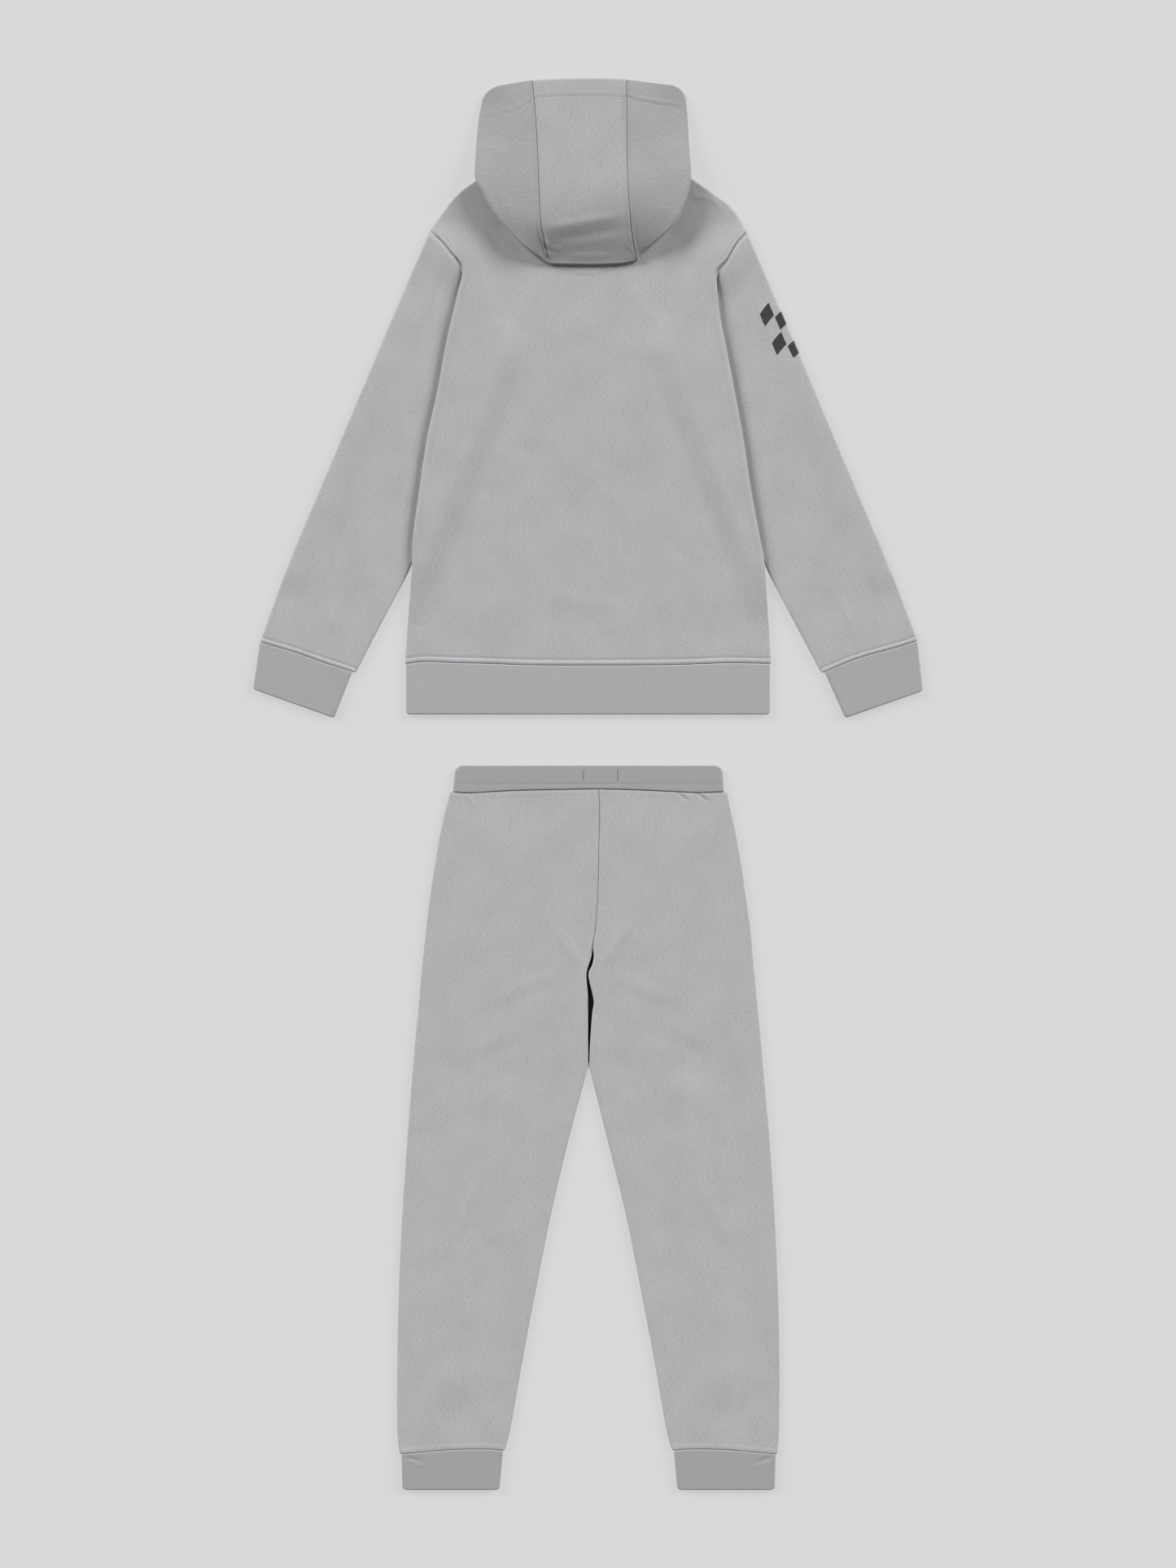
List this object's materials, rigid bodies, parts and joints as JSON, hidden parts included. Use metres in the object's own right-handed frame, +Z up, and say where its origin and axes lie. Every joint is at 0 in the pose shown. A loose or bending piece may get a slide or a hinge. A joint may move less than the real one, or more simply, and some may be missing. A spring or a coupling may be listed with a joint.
{
  "type": "hoodie and jogger set",
  "caption": "Child's plain grey fleece hoodie with rib bands and matching cuffed joggers, laid flat with their backs up.",
  "frame": {"origin": "on the surface that the set lies on, under the centre of its box", "axes": "+Z up from the surface, +Y from the ankle cuffs towards the hood, +X to the wearer's right"},
  "size_m": [0.8221, 1.733, 0.0265],
  "materials": {
    "fleece": "matte light grey marl cotton fleece with fine streaks across the cloth",
    "rib": "matte grey marl rib knit, a little darker than the fleece"
  },
  "bodies": {
    "root": {"back_panel": "fleece", "front_panel": "fleece", "sleeve_left": "fleece", "sleeve_right": "fleece", "cuff_left": "rib", "cuff_right": "rib", "hem_band": "rib", "hood_centre": "fleece", "hood_side_left": "fleece", "hood_side_right": "fleece", "seat_left": "fleece", "seat_right": "fleece", "leg_front_left": "fleece", "leg_front_right": "fleece", "waistband": "rib", "leg_cuff_left": "rib", "leg_cuff_right": "rib"}
  },
  "joints": []
}
